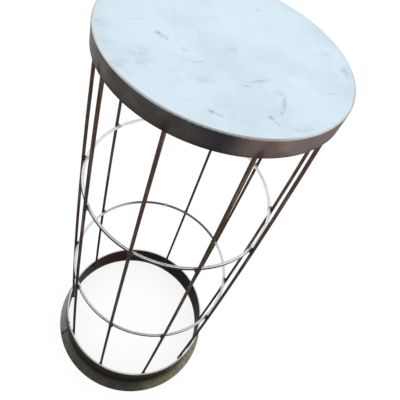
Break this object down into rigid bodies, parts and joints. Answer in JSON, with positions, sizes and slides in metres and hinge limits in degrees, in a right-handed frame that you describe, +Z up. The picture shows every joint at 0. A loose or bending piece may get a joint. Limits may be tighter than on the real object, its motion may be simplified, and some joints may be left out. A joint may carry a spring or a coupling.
{
  "type": "baghouse filter cage",
  "caption": "Round welded wire cage with a pressed end pan, inner hoops and a flared collar, which holds a filter bag open in a dust collector.",
  "frame": {"origin": "centre of the collar's lower edge, on the surface that the cage stands on", "axes": "+Z up the cage's axis towards the pan"},
  "size_m": [0.17, 0.17, 0.388],
  "materials": {
    "pan_sheet": "bright sheet with scuffs",
    "wire_steel": "dark drawn wire",
    "hoop_steel": "bright drawn wire",
    "collar_sheet": "mill finish sheet",
    "weld_metal": "burnt weld",
    "ground_weld": "ground flush"
  },
  "bodies": {
    "root": {"pan": "pan_sheet", "wire_01": "wire_steel", "wire_02": "wire_steel", "wire_03": "wire_steel", "wire_04": "wire_steel", "wire_05": "wire_steel", "wire_06": "wire_steel", "wire_07": "wire_steel", "wire_08": "wire_steel", "wire_09": "wire_steel", "wire_10": "wire_steel", "hoop_upper": "hoop_steel", "hoop_lower": "hoop_steel", "collar": "collar_sheet", "hoop_upper_welds": "weld_metal", "hoop_lower_welds": "weld_metal", "hoop_upper_closing_weld": "weld_metal", "hoop_lower_closing_weld": "weld_metal", "pan_welds": "weld_metal", "collar_welds": "weld_metal", "collar_seam_weld": "ground_weld"}
  },
  "joints": []
}
